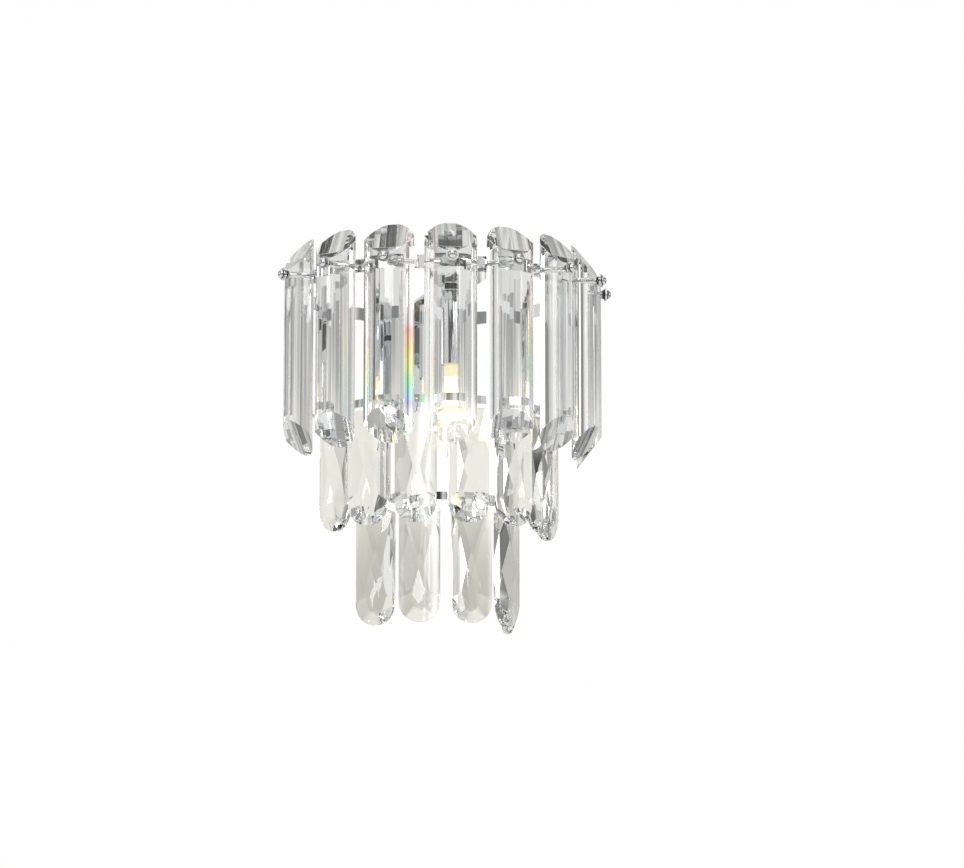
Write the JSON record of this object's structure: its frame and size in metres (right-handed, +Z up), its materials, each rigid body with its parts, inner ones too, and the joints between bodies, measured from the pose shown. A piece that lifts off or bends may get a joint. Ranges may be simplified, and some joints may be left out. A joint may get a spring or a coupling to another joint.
{
  "type": "wall lamp",
  "caption": "Tiered crystal wall lamp: a chrome ring frame on a wall canopy, with long faceted glass bars and shorter glass drops hanging round plug-in lamps.",
  "frame": {"origin": "on the wall plane, behind the middle of the canopy, at the centre of the two wall-screw holes", "axes": "+X to the right seen from the front, -Y out of the wall towards the viewer, +Z up"},
  "size_m": [0.2446, 0.2253, 0.2695],
  "materials": {
    "polished_chrome": "mirror-polished chrome plate",
    "link_wire": "bright drawn wire",
    "zinc_steel": "zinc-plated, satin",
    "black_nut": "black oxide, semi-matt",
    "spacer_plastic": "clear soft plastic",
    "crystal": "cut and polished lead-free crystal",
    "socket_ceramic": "unglazed steatite",
    "bulb_cover": "clear lamp envelope",
    "bulb_glow": "lit warm-white emitter",
    "bulb_base": "glossy white",
    "terminal_plastic": "glossy white",
    "grommet_rubber": "matt",
    "earth_brass": "plain brass",
    "lead_sleeve": "silicone sleeve"
  },
  "bodies": {
    "frame": {"arm_nuts": "zinc_steel", "arm_screws": "zinc_steel", "arm_strap": "polished_chrome", "bar_cap_nuts": "polished_chrome", "bar_spacers": "spacer_plastic", "bar_studs": "zinc_steel", "bottom_links": "link_wire", "bottom_ring": "polished_chrome", "bracket_studs": "zinc_steel", "cable_grommet": "grommet_rubber", "canopy": "polished_chrome", "canopy_nuts": "polished_chrome", "earth_screw": "earth_brass", "lamp_cup_front": "polished_chrome", "lamp_cup_rear": "polished_chrome", "lamp_leads": "lead_sleeve", "lamp_nipples": "zinc_steel", "lamp_nuts": "black_nut", "lamp_socket_front": "socket_ceramic", "lamp_socket_rear": "socket_ceramic", "lamp_washers": "black_nut", "lower_hangers": "polished_chrome", "middle_links": "link_wire", "middle_ring": "polished_chrome", "stud_nuts": "zinc_steel", "terminal_block": "terminal_plastic", "top_ring": "polished_chrome", "upper_hangers": "polished_chrome", "wall_bracket": "zinc_steel"},
    "bar_1": {"bar_1": "crystal"},
    "bar_2": {"bar_2": "crystal"},
    "bar_3": {"bar_3": "crystal"},
    "bar_4": {"bar_4": "crystal"},
    "bar_5": {"bar_5": "crystal"},
    "bar_6": {"bar_6": "crystal"},
    "bar_7": {"bar_7": "crystal"},
    "bar_8": {"bar_8": "crystal"},
    "middle_drop_1": {"middle_drop_1": "crystal"},
    "middle_drop_2": {"middle_drop_2": "crystal"},
    "middle_drop_3": {"middle_drop_3": "crystal"},
    "middle_drop_4": {"middle_drop_4": "crystal"},
    "middle_drop_5": {"middle_drop_5": "crystal"},
    "middle_drop_6": {"middle_drop_6": "crystal"},
    "middle_drop_7": {"middle_drop_7": "crystal"},
    "bottom_drop_1": {"bottom_drop_1": "crystal"},
    "bottom_drop_2": {"bottom_drop_2": "crystal"},
    "bottom_drop_3": {"bottom_drop_3": "crystal"},
    "bottom_drop_4": {"bottom_drop_4": "crystal"},
    "bottom_drop_5": {"bottom_drop_5": "crystal"},
    "bulb_front": {"bulb_base_front": "bulb_base", "bulb_core_front": "bulb_glow", "bulb_cover_front": "bulb_cover", "bulb_pins_front": "zinc_steel"},
    "bulb_rear": {"bulb_base_rear": "bulb_base", "bulb_core_rear": "bulb_glow", "bulb_cover_rear": "bulb_cover", "bulb_pins_rear": "zinc_steel"}
  },
  "joints": [
    {"name": "bar_1_swing", "type": "hinge", "parent": "frame", "child": "bar_1", "pos_m": [-0.10494, -0.12387, 0.044], "axis": [-0.9808, -0.1951, 0], "range_deg": [-1.2, 1.2]},
    {"name": "bar_2_swing", "type": "hinge", "parent": "frame", "child": "bar_2", "pos_m": [-0.08897, -0.16245, 0.044], "axis": [-0.8315, -0.5556, 0], "range_deg": [-1.2, 1.2]},
    {"name": "bar_3_swing", "type": "hinge", "parent": "frame", "child": "bar_3", "pos_m": [-0.05945, -0.19197, 0.044], "axis": [-0.5556, -0.8315, 0], "range_deg": [-1.2, 1.2]},
    {"name": "bar_4_swing", "type": "hinge", "parent": "frame", "child": "bar_4", "pos_m": [-0.02088, -0.20794, 0.044], "axis": [-0.1951, -0.9808, 0], "range_deg": [-1.2, 1.2]},
    {"name": "bar_5_swing", "type": "hinge", "parent": "frame", "child": "bar_5", "pos_m": [0.02088, -0.20794, 0.044], "axis": [0.1951, -0.9808, 0], "range_deg": [-1.2, 1.2]},
    {"name": "bar_6_swing", "type": "hinge", "parent": "frame", "child": "bar_6", "pos_m": [0.05945, -0.19197, 0.044], "axis": [0.5556, -0.8315, 0], "range_deg": [-1.2, 1.2]},
    {"name": "bar_7_swing", "type": "hinge", "parent": "frame", "child": "bar_7", "pos_m": [0.08897, -0.16245, 0.044], "axis": [0.8315, -0.5556, 0], "range_deg": [-1.2, 1.2]},
    {"name": "bar_8_swing", "type": "hinge", "parent": "frame", "child": "bar_8", "pos_m": [0.10494, -0.12387, 0.044], "axis": [0.9808, -0.1951, 0], "range_deg": [-1.2, 1.2]},
    {"name": "middle_drop_1_swing", "type": "hinge", "parent": "frame", "child": "middle_drop_1", "pos_m": [-0.07673, -0.11557, -0.0576], "axis": [-0.8805, -0.4741, 0], "range_deg": [-3, 3]},
    {"name": "middle_drop_2_swing", "type": "hinge", "parent": "frame", "child": "middle_drop_2", "pos_m": [-0.06274, -0.14892, -0.0576], "axis": [-0.599, -0.8007, 0], "range_deg": [-3, 3]},
    {"name": "middle_drop_3_swing", "type": "hinge", "parent": "frame", "child": "middle_drop_3", "pos_m": [-0.03518, -0.17234, -0.0576], "axis": [-0.4524, -0.8918, 0], "range_deg": [-3, 3]},
    {"name": "middle_drop_4_swing", "type": "hinge", "parent": "frame", "child": "middle_drop_4", "pos_m": [0, -0.18075, -0.0576], "axis": [0, -1, 0], "range_deg": [-3, 3]},
    {"name": "middle_drop_5_swing", "type": "hinge", "parent": "frame", "child": "middle_drop_5", "pos_m": [0.03518, -0.17234, -0.0576], "axis": [0.2907, -0.9568, 0], "range_deg": [-3, 3]},
    {"name": "middle_drop_6_swing", "type": "hinge", "parent": "frame", "child": "middle_drop_6", "pos_m": [0.06274, -0.14892, -0.0576], "axis": [0.497, -0.8678, 0], "range_deg": [-3, 3]},
    {"name": "middle_drop_7_swing", "type": "hinge", "parent": "frame", "child": "middle_drop_7", "pos_m": [0.07673, -0.11557, -0.0576], "axis": [0.6782, -0.7349, 0], "range_deg": [-3, 3]},
    {"name": "bottom_drop_1_swing", "type": "hinge", "parent": "frame", "child": "bottom_drop_1", "pos_m": [-0.04948, -0.12199, -0.123], "axis": [-0.6691, -0.7431, 0], "range_deg": [-2, 2]},
    {"name": "bottom_drop_2_swing", "type": "hinge", "parent": "frame", "child": "bottom_drop_2", "pos_m": [-0.02569, -0.14935, -0.123], "axis": [-0.4848, -0.8746, 0], "range_deg": [-2, 2]},
    {"name": "bottom_drop_3_swing", "type": "hinge", "parent": "frame", "child": "bottom_drop_3", "pos_m": [0.01011, -0.15503, -0.123], "axis": [0.0175, -0.9998, 0], "range_deg": [-2, 2]},
    {"name": "bottom_drop_4_swing", "type": "hinge", "parent": "frame", "child": "bottom_drop_4", "pos_m": [0.04119, -0.13635, -0.123], "axis": [0.682, -0.7314, 0], "range_deg": [-2, 2]},
    {"name": "bottom_drop_5_swing", "type": "hinge", "parent": "frame", "child": "bottom_drop_5", "pos_m": [0.05299, -0.10207, -0.123], "axis": [0.9998, 0.0175, 0], "range_deg": [-2, 2]},
    {"name": "bulb_front_pull", "type": "slide", "parent": "frame", "child": "bulb_front", "axis": [0, 0, -1], "range_m": [0, 0.01]},
    {"name": "bulb_rear_pull", "type": "slide", "parent": "frame", "child": "bulb_rear", "axis": [0, 0, -1], "range_m": [0, 0.01]}
  ]
}
